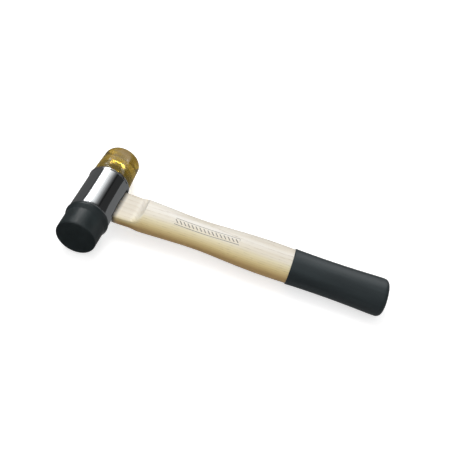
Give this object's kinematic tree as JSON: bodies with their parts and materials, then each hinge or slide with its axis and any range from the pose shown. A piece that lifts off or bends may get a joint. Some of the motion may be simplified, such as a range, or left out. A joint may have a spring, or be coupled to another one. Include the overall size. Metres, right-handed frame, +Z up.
{
  "type": "soft-faced hammer",
  "caption": "Two-way soft-faced hammer: chromed tube head with screw-in amber plastic and black rubber faces, ash handle with a dipped black grip.",
  "frame": {"origin": "centre of the bounding box on the ground under the hammer, which lies on its side", "axes": "+X along the handle from head to grip, +Y along the head from rubber face to amber face, +Z up"},
  "size_m": [0.2658, 0.1022, 0.0362],
  "materials": {
    "chromed_steel": "polished chrome plate",
    "amber_plastic": "smooth see-through amber",
    "black_rubber": "satin moulded rubber",
    "plain_steel": "turned steel",
    "ash_wood": "sanded, thin clear varnish",
    "dipped_coat": "satin dipped coat"
  },
  "bodies": {
    "hammer": {"head_body": "chromed_steel", "handle": "ash_wood", "grip": "dipped_coat", "wood_wedge": "ash_wood", "steel_wedges": "plain_steel"},
    "amber_thread": {"amber_stud": "plain_steel"},
    "amber_cap": {"amber_face": "amber_plastic"},
    "rubber_thread": {"rubber_stud": "plain_steel"},
    "rubber_cap": {"rubber_face": "black_rubber"}
  },
  "joints": [
    {"name": "amber_advance", "type": "slide", "parent": "hammer", "child": "amber_thread", "axis": [0, 1, 0], "range_m": [0, 0.009]},
    {"name": "amber_unscrew", "type": "hinge", "parent": "amber_thread", "child": "amber_cap", "pos_m": [-0.11476, 0.0181, 0.0181], "axis": [0, 1, 0], "range_deg": [0, 2160]},
    {"name": "rubber_advance", "type": "slide", "parent": "hammer", "child": "rubber_thread", "axis": [0, -1, 0], "range_m": [0, 0.009]},
    {"name": "rubber_unscrew", "type": "hinge", "parent": "rubber_thread", "child": "rubber_cap", "pos_m": [-0.11476, -0.0269, 0.0181], "axis": [0, -1, 0], "range_deg": [0, 2160]}
  ],
  "couplings": [
    {"joint": "amber_advance", "follows": "amber_unscrew", "m_per_rad": 0.00023873},
    {"joint": "rubber_advance", "follows": "rubber_unscrew", "m_per_rad": 0.00023873}
  ]
}
